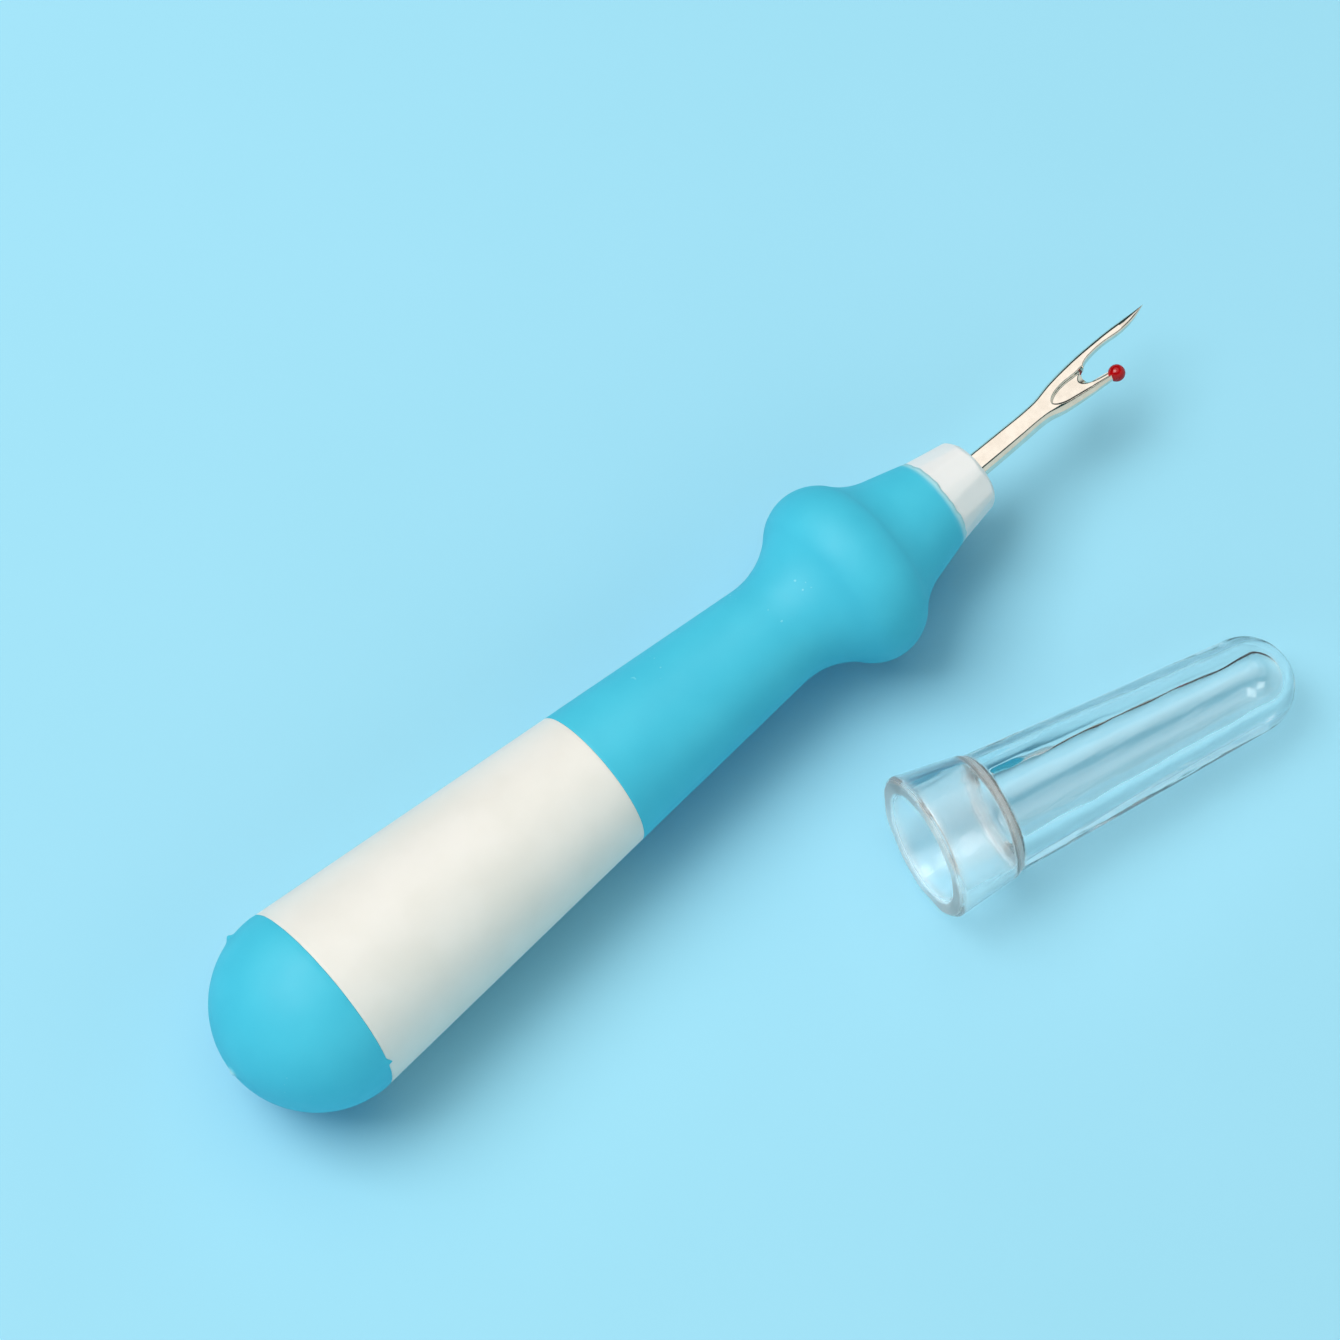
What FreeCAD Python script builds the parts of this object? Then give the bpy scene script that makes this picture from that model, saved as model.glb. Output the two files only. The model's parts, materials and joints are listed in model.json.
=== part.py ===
"""Seam ripper with a soft-grip handle and a clear cap, in millimetres.

Every handle piece is drawn about the handle's own axis, with x = 0 at the rear end of the
dome and the blade towards +X.  The cap is drawn about its own axis, with x = 0 at its mouth.
Both are then laid on the table plane, z = 0: the handle touches it with its dome and its
bulb, the cap with its rim and its round end.
"""
import FreeCAD, Part
import math
import os

import Sketcher

SIZES = {
    # Rear dome, a soft rubber hemisphere moulded over the core's spigot.
    "dome_radius": 12.0,
    "dome_join": 12.8,
    "dome_join_radius": 11.92,
    "spigot_start": 4.6,
    "spigot_radius": 7.5,
    "groove_start": 7.2,
    "groove_end": 9.2,
    "groove_radius": 6.6,
    # Core, the white moulding: a bare band, then a stem under the front grip.
    "band_end": 52.5,
    "band_end_radius": 8.74,
    "stem_radius": 7.1,
    "neck_at": 78.0,
    "stem_neck_radius": 5.1,
    "hump_start": 85.5,
    "hump_rise": 88.5,
    "hump_fall": 93.0,
    "hump_end": 97.0,
    "hump_radius": 8.0,
    "core_end": 103.6,
    "core_end_radius": 4.9,
    "holder_bore_start": 84.0,
    "holder_bore_radius": 3.2,
    # Front grip, the soft rubber sleeve with the bulb that stops the fingers.
    "handle_taper": 4.57,
    "bulb_at": 90.8,
    "bulb_radius": 11.27,
    "bulb_curve": 5.7,
    "neck_curve": 10.0,
    "saddle_curve": 9.0,
    "grip_taper": 14.7,
    "grip_end": 104.2,
    "grip_end_radius": 5.72,
    "grip_lip_radius": 5.5,
    # Blade holder, the faceted white nose that is moulded round the blade's tang.
    "nose_base": 104.3,
    "nose_base_radius": 5.6,
    "nose_front": 110.4,
    "nose_edge": 109.8,
    "nose_edge_radius": 4.62,
    "nose_face_radius": 3.95,
    "facet_start": 105.2,
    "facet_start_radius": 5.42,
    "facet_front_radius": 4.3,
    "facet_reach": 111.4,
    "facet_reach_radius": 7.5,
    "facet_count": 8,
    # Blade, one pressed and ground steel piece.
    "tang_start": 88.0,
    "tang_notch_start": 93.0,
    "tang_notch_end": 96.0,
    "tang_notch_half": 0.85,
    "shank_half": 1.56,
    "blade_thickness": 2.0,
    "fork_start": 121.8,
    "shank_left": 1.76,
    "shank_right": 1.2,
    "long_prong_shoulder": 127.0,
    "long_prong_shoulder_out": 2.74,
    "long_prong_flare": 25.0,
    "long_prong_bow": 80.0,
    "point_at": 140.1,
    "point_out": 2.62,
    "point_start": 136.0,
    "point_start_in": 1.68,
    "prong_neck_at": 132.9,
    "prong_neck_in": 1.83,
    "slot_middle": 0.13,
    "slot_half": 0.82,
    "slot_radius": 0.85,
    "slot_mouth": 129.0,
    "short_prong_end": 131.4,
    "short_prong_in": 1.06,
    "short_prong_out": 2.25,
    "short_prong_shoulder": 124.6,
    "short_prong_shoulder_out": 1.8,
    "thin_start": 123.4,
    "thin_end": 133.0,
    "thin_half": 0.5,
    "point_half": 0.12,
    "bevel_start": 123.1,
    "bevel_length": 14.0,
    "bevel_radius": 1.6,
    "bevel_slope": 10.5,
    # Ball on the short prong.
    "ball_at": 131.73,
    "ball_out": 1.78,
    "ball_radius": 1.02,
    # Clear cap.
    "cap_lip": 0.55,
    "cap_mouth_radius": 8.75,
    "cap_socket_chamfer": 0.4,
    "cap_socket_radius": 6.45,
    "cap_collar_end": 8.6,
    "cap_collar_radius": 7.62,
    "cap_step_end": 8.95,
    "cap_tube_radius": 7.32,
    "cap_socket_end": 8.4,
    "cap_bore_start": 9.6,
    "cap_bore_radius": 4.0,
    "cap_round_at": 43.1,
    "cap_round_radius": 5.75,
    "cap_bore_end": 44.2,
    "cap_bore_end_radius": 2.85,
    # Where the cap lies beside the handle.
    "cap_mouth_x": 75.3,
    "cap_mouth_y": 29.9,
    "cap_yaw": 12.1,
}

doc = FreeCAD.newDocument("seam_ripper")
sheet = doc.addObject("Spreadsheet::Sheet", "sizes")


def size(name):
    """A driving dimension's value."""
    return SIZES[name]


def fill_sheet():
    """Writes every driving dimension into the sheet, one row each, with its name as alias."""
    for row, (name, value) in enumerate(SIZES.items(), start=1):
        sheet.set(f"A{row}", name)
        sheet.set(f"B{row}", str(value))
        sheet.setAlias(f"B{row}", name)
    doc.recompute()


def new_body(name):
    """An empty body whose label names the piece."""
    body = doc.addObject("PartDesign::Body", name)
    body.Label = name
    return body


def new_sketch(body, plane, name):
    """A sketch on one of the body's own origin planes."""
    sketch = body.newObject("Sketcher::SketchObject", name)
    support = next(f for f in body.Origin.OriginFeatures if f.Role == plane)
    sketch.AttachmentSupport = [(support, "")]
    sketch.MapMode = "FlatFace"
    return sketch


def bind(sketch, constraint, label, expression):
    """Adds a dimension to a sketch and ties it to the sheet."""
    index = sketch.addConstraint(constraint)
    sketch.renameConstraint(index, label)
    sketch.setExpression(f"Constraints.{label}", expression)


def pin_point(sketch, edge, end, across, along):
    """Ties an end of an edge to two sheet names; '-name' is below the axis, '0' on it."""
    for direction, name in (("X", across), ("Y", along)):
        label = f"{direction.lower()}_{edge}_{end}"
        if name == "0":
            axis = -2 if direction == "X" else -1
            sketch.addConstraint(Sketcher.Constraint("PointOnObject", edge, end, axis))
        elif name.startswith("-"):
            value = size(name[1:])
            dimension = Sketcher.Constraint("Distance" + direction, edge, end, -1, 1, value)
            bind(sketch, dimension, label, f"sizes.{name[1:]}")
        else:
            value = size(name)
            dimension = Sketcher.Constraint("Distance" + direction, -1, 1, edge, end, value)
            bind(sketch, dimension, label, f"sizes.{name}")


def coordinate(name):
    """The signed value of a sheet name as pin_point reads it."""
    if name == "0":
        return 0.0
    return -size(name[1:]) if name.startswith("-") else size(name)


def arc_between(start, end, radius):
    """A circle's arc from start to end; a positive radius turns left, a negative one right."""
    chord = end - start
    half = chord.Length / 2
    normal = FreeCAD.Vector(-chord.y, chord.x, 0).normalize()
    offset = math.sqrt(max(radius**2 - half**2, 0.0))
    centre = (start + end) / 2 + normal * math.copysign(offset, radius)
    middle = centre - normal * radius
    return Part.Arc(start, middle, end)


def closed_outline(sketch, corners, arcs=None):
    """Draws a closed outline through corners named in the sheet.

    arcs maps the index of an edge to the sheet name of its radius, with '-' for an arc that
    turns right.  Every corner and every radius is tied to the sheet.
    """
    arcs = arcs or {}
    points = [FreeCAD.Vector(coordinate(x), coordinate(y), 0) for x, y in corners]
    starts = []
    for i, point in enumerate(points):
        nxt = points[(i + 1) % len(points)]
        if i in arcs:
            arc = arc_between(point, nxt, coordinate(arcs[i]))
            sketch.addGeometry(arc, False)
            turns_left = not arcs[i].startswith("-")
            starts.append((1, 2) if turns_left else (2, 1))
        else:
            sketch.addGeometry(Part.LineSegment(point, nxt), False)
            starts.append((1, 2))
    for i, corner in enumerate(corners):
        following = (i + 1) % len(corners)
        joint = Sketcher.Constraint("Coincident", i, starts[i][1], following, starts[following][0])
        sketch.addConstraint(joint)
        pin_point(sketch, i, starts[i][0], *corner)
    for i, name in arcs.items():
        radius = name.lstrip("-")
        dimension = Sketcher.Constraint("Radius", i, size(radius))
        bind(sketch, dimension, f"radius_{i}", f"sizes.{radius}")


def spin(body, sketch, name):
    """Revolves a sketch a full turn about the X axis."""
    revolution = body.newObject("PartDesign::Revolution", name)
    revolution.Profile = sketch
    revolution.ReferenceAxis = (sketch, ["H_Axis"])
    revolution.Angle = 360
    sketch.Visibility = False
    doc.recompute()
    return revolution


def make_dome():
    """The rear dome: a hemisphere outside, a grooved socket for the core's spigot inside."""
    body = new_body("rear_dome")
    sketch = new_sketch(body, "XY_Plane", "dome_outline")
    corners = [
        ("0", "0"),
        ("dome_radius", "dome_radius"),
        ("dome_join", "dome_join_radius"),
        ("dome_join", "spigot_radius"),
        ("groove_end", "spigot_radius"),
        ("groove_end", "groove_radius"),
        ("groove_start", "groove_radius"),
        ("groove_start", "spigot_radius"),
        ("spigot_start", "spigot_radius"),
        ("spigot_start", "0"),
    ]
    closed_outline(sketch, corners, {0: "-dome_radius"})
    spin(body, sketch, "dome_solid")
    return body


STEM_CORNERS = [
    ("band_end", "stem_radius"),
    ("neck_at", "stem_neck_radius"),
    ("hump_start", "stem_neck_radius"),
    ("hump_rise", "hump_radius"),
    ("hump_fall", "hump_radius"),
    ("hump_end", "stem_neck_radius"),
    ("core_end", "core_end_radius"),
]


def make_core():
    """The white core: grooved spigot, tapered band, humped stem, and a bore for the holder."""
    body = new_body("handle_core")
    sketch = new_sketch(body, "XY_Plane", "core_outline")
    corners = [
        ("spigot_start", "0"),
        ("spigot_start", "spigot_radius"),
        ("groove_start", "spigot_radius"),
        ("groove_start", "groove_radius"),
        ("groove_end", "groove_radius"),
        ("groove_end", "spigot_radius"),
        ("dome_join", "spigot_radius"),
        ("dome_join", "dome_join_radius"),
        ("band_end", "band_end_radius"),
        *STEM_CORNERS,
        ("core_end", "holder_bore_radius"),
        ("holder_bore_start", "holder_bore_radius"),
        ("holder_bore_start", "0"),
    ]
    closed_outline(sketch, corners)
    spin(body, sketch, "core_solid")
    return body


def make_grip():
    """The front grip: a sleeve over the stem, tapered to a neck, with a round finger bulb.

    Its outside is a line, a hollow arc, the bulb's arc, a second hollow arc and a line, each
    tangent to the next.  Its inside follows the core's stem and the holder's shoulder.
    """
    body = new_body("front_grip")
    sketch = new_sketch(body, "XY_Plane", "grip_outline")
    taper = math.radians(size("handle_taper"))
    slope = math.radians(size("grip_taper"))
    bulb = FreeCAD.Vector(size("bulb_at"), size("bulb_radius") - size("bulb_curve"), 0)
    start = FreeCAD.Vector(size("band_end"), size("band_end_radius"), 0)
    end = FreeCAD.Vector(size("grip_end"), size("grip_end_radius"), 0)
    neck_reach = size("neck_curve") + size("bulb_curve")
    saddle_reach = size("saddle_curve") + size("bulb_curve")
    # A hollow arc's centre stands one radius off its line and one reach from the bulb's centre.
    along_neck = FreeCAD.Vector(math.cos(taper), -math.sin(taper), 0)
    off_neck = FreeCAD.Vector(math.sin(taper), math.cos(taper), 0)
    neck_centre = tangent_centre(start, along_neck, off_neck, size("neck_curve"), bulb, neck_reach, -1)
    along_saddle = FreeCAD.Vector(math.cos(slope), -math.sin(slope), 0)
    off_saddle = FreeCAD.Vector(math.sin(slope), math.cos(slope), 0)
    saddle_centre = tangent_centre(end, along_saddle, off_saddle, size("saddle_curve"), bulb, saddle_reach, 1)
    neck_start = neck_centre - off_neck * size("neck_curve")
    neck_end = bulb + (neck_centre - bulb).normalize() * size("bulb_curve")
    saddle_start = bulb + (saddle_centre - bulb).normalize() * size("bulb_curve")
    saddle_end = saddle_centre - off_saddle * size("saddle_curve")
    crest = bulb + FreeCAD.Vector(0, size("bulb_curve"), 0)

    inside = [*STEM_CORNERS, ("grip_end", "grip_lip_radius")]
    inner = [FreeCAD.Vector(coordinate(x), coordinate(y), 0) for x, y in inside]
    taper_line = sketch.addGeometry(Part.LineSegment(start, neck_start), False)
    neck_arc = sketch.addGeometry(hollow_arc(neck_centre, neck_start, neck_end), False)
    bulb_arc = sketch.addGeometry(Part.Arc(neck_end, crest, saddle_start), False)
    saddle_arc = sketch.addGeometry(hollow_arc(saddle_centre, saddle_start, saddle_end), False)
    front_line = sketch.addGeometry(Part.LineSegment(saddle_end, end), False)
    # An arc's first end is the one it leaves anticlockwise.
    chain = [(taper_line, 1, 2), (neck_arc, 1, 2), (bulb_arc, 2, 1), (saddle_arc, 1, 2), (front_line, 1, 2)]
    for (edge, _, tail), (following, head, _) in zip(chain, chain[1:]):
        sketch.addConstraint(Sketcher.Constraint("Tangent", edge, tail, following, head))
    pin_point(sketch, taper_line, 1, "band_end", "band_end_radius")
    pin_point(sketch, front_line, 2, "grip_end", "grip_end_radius")
    pin_point(sketch, bulb_arc, 3, "bulb_at", "bulb_height")
    for arc, name in ((neck_arc, "neck_curve"), (bulb_arc, "bulb_curve"), (saddle_arc, "saddle_curve")):
        bind(sketch, Sketcher.Constraint("Radius", arc, size(name)), name, f"sizes.{name}")
    for line, name, angle in ((taper_line, "handle_taper", taper), (front_line, "grip_taper", slope)):
        tilt = Sketcher.Constraint("Angle", line, 1, -1, 1, angle)
        bind(sketch, tilt, name, f"sizes.{name} * 1 deg")

    loop = [start] + inner + [end]
    first = len(chain)
    for a, b in zip(loop, loop[1:]):
        sketch.addGeometry(Part.LineSegment(a, b), False)
    last = first + len(loop) - 2
    sketch.addConstraint(Sketcher.Constraint("Coincident", taper_line, 1, first, 1))
    sketch.addConstraint(Sketcher.Constraint("Coincident", front_line, 2, last, 2))
    for i, corner in enumerate(inside):
        sketch.addConstraint(Sketcher.Constraint("Coincident", first + i, 2, first + i + 1, 1))
        pin_point(sketch, first + i, 2, *corner)
    spin(body, sketch, "grip_solid")
    return body


def tangent_centre(point, along, off, radius, other, reach, side):
    """The centre of an arc that touches a line and, from outside, another circle.

    The line passes through point in direction along; off is its outward normal.  The centre is
    radius off the line and reach from the other circle's centre, on the given side of it.
    """
    base = point + off * radius
    gap = other - base
    foot = gap.dot(along)
    rise = gap.dot(off)
    return base + along * (foot + side * math.sqrt(reach**2 - rise**2))


def hollow_arc(centre, start, end):
    """An arc about centre from start to end that bulges towards the axis."""
    middle = (start + end) / 2 - centre
    radius = (start - centre).Length
    return Part.Arc(start, centre + middle.normalize() * radius, end)


def make_holder():
    """The blade holder: a stem in the core's bore and a tapered nose with eight soft facets."""
    body = new_body("blade_holder")
    sketch = new_sketch(body, "XY_Plane", "holder_outline")
    corners = [
        ("holder_bore_start", "0"),
        ("holder_bore_start", "holder_bore_radius"),
        ("core_end", "holder_bore_radius"),
        ("core_end", "core_end_radius"),
        ("nose_base", "nose_base_radius"),
        ("nose_edge", "nose_edge_radius"),
        ("nose_front", "nose_face_radius"),
        ("nose_front", "0"),
    ]
    closed_outline(sketch, corners)
    spin(body, sketch, "holder_solid")

    facet = new_sketch(body, "XY_Plane", "facet_outline")
    facet_corners = [
        ("facet_start", "facet_start_radius"),
        ("facet_reach", "facet_front_radius"),
        ("facet_reach", "facet_reach_radius"),
        ("facet_start", "facet_reach_radius"),
    ]
    closed_outline(facet, facet_corners)
    cut = pocket_through(body, facet, "facet_cut")
    ring = body.newObject("PartDesign::PolarPattern", "facets")
    ring.Originals = [cut]
    ring.Axis = (facet, ["H_Axis"])
    ring.Angle = 360
    ring.setExpression("Occurrences", "sizes.facet_count")
    body.Tip = ring
    doc.recompute()

    slot = new_sketch(body, "XY_Plane", "tang_slot_outline")
    closed_outline(slot, tang_corners("facet_reach"))
    pocket = body.newObject("PartDesign::Pocket", "tang_slot")
    pocket.Profile = slot
    pocket.Type = "Length"
    pocket.Midplane = True
    pocket.setExpression("Length", "sizes.blade_thickness")
    body.Tip = pocket
    doc.recompute()
    return body


def pocket_through(body, sketch, name):
    """Cuts a sketch right through the body, both ways."""
    pocket = body.newObject("PartDesign::Pocket", name)
    pocket.Profile = sketch
    pocket.Type = "ThroughAll"
    pocket.Midplane = True
    sketch.Visibility = False
    body.Tip = pocket
    doc.recompute()
    return pocket


def tang_corners(front):
    """The tang's notched outline, closed by a straight end at the given place."""
    upper = [
        ("tang_start", "shank_half"),
        ("tang_notch_start", "shank_half"),
        ("tang_notch_start", "tang_notch_half"),
        ("tang_notch_end", "tang_notch_half"),
        ("tang_notch_end", "shank_half"),
        (front, "shank_half"),
    ]
    lower = [(x, "-" + y) for x, y in reversed(upper)]
    return upper + lower


def make_blade():
    """The blade: a flat shank that forks into a long pointed prong and a short one.

    The outline is padded to the full thickness, thinned towards the points, and hollowed from
    both faces by a slanting round cut, so that the bottom of the fork comes to an edge.
    """
    body = new_body("seam_blade")
    sketch = new_sketch(body, "XY_Plane", "blade_outline")
    tang = tang_corners("nose_front")
    corners = [
        *tang[:6],
        ("fork_start", "shank_left"),
        ("long_prong_shoulder", "long_prong_shoulder_out"),
        ("point_at", "point_out"),
        ("point_start", "point_start_in"),
        ("prong_neck_at", "prong_neck_in"),
        ("slot_mouth", "slot_top"),
        ("slot_mouth", "-slot_bottom"),
        ("short_prong_end", "-short_prong_in"),
        ("short_prong_end", "-short_prong_out"),
        ("short_prong_shoulder", "-short_prong_shoulder_out"),
        ("fork_start", "-shank_right"),
        *tang[6:],
    ]
    arcs = {6: "-long_prong_flare", 7: "-long_prong_bow", 11: "slot_radius"}
    closed_outline(sketch, corners, arcs)
    pad = body.newObject("PartDesign::Pad", "blade_pad")
    pad.Profile = sketch
    pad.Midplane = True
    pad.setExpression("Length", "sizes.blade_thickness")
    sketch.Visibility = False
    doc.recompute()

    for side, sign in (("upper", ""), ("lower", "-")):
        thinning = new_sketch(body, "XZ_Plane", f"{side}_thinning_outline")
        thinning_corners = [
            ("thin_start", sign + "blade_half"),
            ("thin_end", sign + "thin_half"),
            ("point_start", sign + "thin_half"),
            ("point_at", sign + "point_half"),
            ("point_beyond", sign + "point_half"),
            ("point_beyond", sign + "blade_half"),
        ]
        closed_outline(thinning, thinning_corners)
        pocket_through(body, thinning, f"{side}_thinning")

    slope = size("bevel_slope")
    for side, sign in (("upper", 1), ("lower", -1)):
        bevel = body.newObject("PartDesign::SubtractiveCylinder", f"{side}_bevel")
        bevel.setExpression("Radius", "sizes.bevel_radius")
        bevel.setExpression("Height", "sizes.bevel_length")
        # The round cut touches the face at bevel_start and sinks towards the points.
        rise = size("blade_half") + size("bevel_radius") / math.cos(math.radians(slope))
        base = FreeCAD.Vector(size("bevel_start"), 0, sign * rise)
        turn = FreeCAD.Rotation(FreeCAD.Vector(0, 1, 0), 90 + sign * slope)
        bevel.Placement = FreeCAD.Placement(base, turn)
        body.Tip = bevel
        doc.recompute()
    return body


def make_ball(blade):
    """The safety ball, moulded on the end of the short prong.

    Returns the whole sphere, which is placed with the blade, and the ball that is left of it
    once the prong is taken out, which follows them both.
    """
    sphere = doc.addObject("Part::Sphere", "ball_sphere")
    sphere.setExpression("Radius", "sizes.ball_radius")
    sphere.Placement.Base = FreeCAD.Vector(size("ball_at"), -size("ball_out"), 0)
    ball = doc.addObject("Part::Cut", "ball_tip")
    ball.Label = "ball_tip"
    ball.Base = sphere
    ball.Tool = blade
    doc.recompute()
    return sphere, ball


def make_cap():
    """The clear cap: a collar that passes over the nose, a thick tube, and a round end."""
    body = new_body("clear_cap")
    sketch = new_sketch(body, "XY_Plane", "cap_outline")
    corners = [
        ("0", "cap_chamfer_radius"),
        ("0", "cap_face_radius"),
        ("cap_lip", "cap_mouth_radius"),
        ("cap_collar_end", "cap_collar_radius"),
        ("cap_step_end", "cap_tube_radius"),
        ("cap_round_at", "cap_round_radius"),
        ("cap_end", "0"),
        ("cap_bore_tip", "0"),
        ("cap_bore_end", "cap_bore_end_radius"),
        ("cap_bore_start", "cap_bore_radius"),
        ("cap_socket_end", "cap_socket_radius"),
        ("cap_socket_chamfer", "cap_socket_radius"),
    ]
    arcs = {1: "-cap_lip", 5: "-cap_round_radius", 7: "cap_bore_end_radius"}
    closed_outline(sketch, corners, arcs)
    spin(body, sketch, "cap_solid")
    return body


def add_derived_sizes():
    """Sizes that follow from the driving ones."""
    SIZES["bulb_height"] = round(size("bulb_radius") - size("bulb_curve"), 4)
    SIZES["blade_half"] = size("blade_thickness") / 2
    SIZES["slot_top"] = round(size("slot_middle") + size("slot_half"), 4)
    SIZES["slot_bottom"] = round(size("slot_half") - size("slot_middle"), 4)
    SIZES["point_beyond"] = size("point_at") + 1
    SIZES["cap_chamfer_radius"] = round(size("cap_socket_radius") + size("cap_socket_chamfer"), 4)
    SIZES["cap_face_radius"] = round(size("cap_mouth_radius") - size("cap_lip"), 4)
    SIZES["cap_end"] = round(size("cap_round_at") + size("cap_round_radius"), 4)
    SIZES["cap_bore_tip"] = round(size("cap_bore_end") + size("cap_bore_end_radius"), 4)


def resting_pose(rear_at, rear_arc, rear_height, front_at, front_arc, front_height):
    """The nose-down tilt and axis height of a turned shape that lies on two round rings.

    Each ring is an arc about a point (at, height off the axis) with its own radius.  Returns
    the tilt in radians and the height of the axis above the table at x = 0.
    """
    run = front_at - rear_at
    rise = rear_height - front_height
    drop = (rear_arc - front_arc) / math.hypot(run, rise)
    tilt = math.asin(drop) + math.atan2(rise, run)
    height = rear_at * math.sin(tilt) + rear_height * math.cos(tilt) + rear_arc
    return tilt, height


def lay(piece, tilt, height, yaw, x, y):
    """Puts a piece on the table: nose down by tilt, turned clockwise by yaw."""
    dip = FreeCAD.Rotation(FreeCAD.Vector(0, 1, 0), math.degrees(tilt))
    turn = FreeCAD.Rotation(FreeCAD.Vector(0, 0, 1), -yaw)
    piece.Placement = FreeCAD.Placement(FreeCAD.Vector(x, y, height), turn * dip) * piece.Placement


def check(pieces):
    """Stops the build if any object failed or any piece isn't a sound solid."""
    for item in doc.Objects:
        if "Invalid" in item.State or "Error" in item.State:
            raise RuntimeError(f"{item.Name} failed: {item.State}")
    for piece in pieces:
        shape = piece.Shape
        if shape.isNull() or not shape.isValid() or len(shape.Solids) != 1:
            raise RuntimeError(f"{piece.Label} is not one sound solid")


def main():
    add_derived_sizes()
    fill_sheet()
    blade = make_blade()
    sphere, ball = make_ball(blade)
    handle = [make_dome(), make_core(), make_grip(), make_holder(), blade, sphere]
    cap = make_cap()

    tilt, height = resting_pose(
        size("dome_radius"), size("dome_radius"), 0.0, size("bulb_at"), size("bulb_curve"), size("bulb_height")
    )
    for piece in handle:
        lay(piece, tilt, height, 0.0, 0.0, 0.0)
    cap_tilt, cap_height = resting_pose(
        size("cap_lip"), size("cap_lip"), size("cap_face_radius"), size("cap_round_at"), size("cap_round_radius"), 0.0
    )
    lay(cap, cap_tilt, cap_height, size("cap_yaw"), size("cap_mouth_x"), -size("cap_mouth_y"))
    doc.recompute()

    # The frame's origin is the middle of the footprint, on the table.
    box = FreeCAD.BoundBox()
    for piece in handle + [cap]:
        box.add(piece.Shape.optimalBoundingBox(False))
    shift = FreeCAD.Vector(-box.Center.x, -box.Center.y, 0)
    for piece in handle + [cap]:
        piece.Placement.Base = piece.Placement.Base + shift
    doc.recompute()

    pieces = [piece for piece in handle if piece is not sphere] + [ball, cap]
    check(pieces)

    os.makedirs("parts", exist_ok=True)
    for piece in pieces:
        piece.Shape.exportStep(f"parts/{piece.Label}.step")
        bounds = piece.Shape.optimalBoundingBox(False)
        print(f"{piece.Label}: volume {piece.Shape.Volume:.1f} mm3, box {bounds}")
    print(f"handle tilt {math.degrees(tilt):.3f} deg, axis height {height:.3f}; shift {shift}")
    print(f"cap tilt {math.degrees(cap_tilt):.3f} deg, axis height {cap_height:.3f}")


main()
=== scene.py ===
# %% [markdown]
# # A soft-grip seam ripper and its clear cap
#
# The tool is a turned handle: a white polypropylene core with two soft rubber pieces moulded
# over it, a faceted holder that grips the blade, a forked steel blade with a red ball on its
# short prong, and a clear cap that lies beside it.  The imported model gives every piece's place.
# Each visible piece is made again here as a smooth surface worked out with numpy, then given
# its own procedural material.

# %% Load the fixed frame
import json
import math

import bmesh
import bpy
import numpy as np
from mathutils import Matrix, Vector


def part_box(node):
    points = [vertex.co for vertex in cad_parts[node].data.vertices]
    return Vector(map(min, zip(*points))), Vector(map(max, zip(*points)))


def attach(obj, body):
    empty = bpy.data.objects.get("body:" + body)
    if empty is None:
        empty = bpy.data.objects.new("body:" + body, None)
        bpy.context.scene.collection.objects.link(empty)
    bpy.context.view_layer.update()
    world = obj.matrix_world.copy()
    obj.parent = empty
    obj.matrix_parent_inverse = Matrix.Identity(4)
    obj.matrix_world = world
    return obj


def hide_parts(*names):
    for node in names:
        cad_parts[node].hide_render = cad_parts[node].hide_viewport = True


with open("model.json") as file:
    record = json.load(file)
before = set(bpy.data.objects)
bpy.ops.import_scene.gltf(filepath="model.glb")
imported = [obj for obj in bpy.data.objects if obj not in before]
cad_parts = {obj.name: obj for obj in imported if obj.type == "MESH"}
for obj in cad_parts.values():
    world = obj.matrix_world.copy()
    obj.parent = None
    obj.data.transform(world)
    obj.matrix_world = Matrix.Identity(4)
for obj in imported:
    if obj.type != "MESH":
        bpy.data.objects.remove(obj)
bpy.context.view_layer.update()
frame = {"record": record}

# %% [markdown]
# ## Where the pieces lie
#
# The handle rests on its dome and on its bulb, so its axis dips a little towards the blade.
# Both rest on the table, so the middle of each one's box is the middle of its circle.  That
# gives two points of the axis.  The cap's axis comes from the record's socket mount.

# %% The handle's and the cap's own axes
MM = 0.001
DOME_RADIUS = 12.0
BULB_AT = 90.8
SOCKET_MIDDLE = 4.4


def box_middle(node, axis):
    """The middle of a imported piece's box along one axis, in metres."""
    low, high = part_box(node)
    return (low[axis] + high[axis]) / 2


def axes_along(direction):
    """Three unit rows: the direction, the level one to its left, and the one above both."""
    along = np.array(direction) / np.linalg.norm(direction)
    left = np.cross((0.0, 0.0, 1.0), along)
    left = left / np.linalg.norm(left)
    return np.array([along, left, np.cross(along, left)])


drop = box_middle("rear_dome", 2) - box_middle("front_grip", 2)
run = (BULB_AT - DOME_RADIUS) * MM
handle_axes = axes_along((math.sqrt(run**2 - drop**2), 0.0, -drop))
dome_centre = np.array([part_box("rear_dome")[0][0] + DOME_RADIUS * MM, box_middle("rear_dome", 1),
                        box_middle("rear_dome", 2)])
handle_start = dome_centre - handle_axes[0] * DOME_RADIUS * MM

socket = next(m for m in frame["record"]["mounts"] if m["name"] == "cap_socket")
cap_axes = axes_along(-np.array(socket["axis"]))
cap_start = np.array(socket["pos_m"]) - cap_axes[0] * SOCKET_MIDDLE * MM
print("handle dips by", round(math.degrees(math.asin(drop / run)), 3), "deg")
print("cap's mouth at", np.round(cap_start, 5), "and its axis", np.round(cap_axes[0], 3))

# %% [markdown]
# ## Turned shapes
#
# A moulded handle is round, so a lathe surface is the natural way to make it: an outline of
# distance along the axis against radius, carried once round.  Real mouldings have no knife
# edges.  Each corner of the outline becomes a small arc, and long runs get points every few
# tenths of a millimetre, so that the shading of an arc doesn't leak along the flat beside it.

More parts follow.
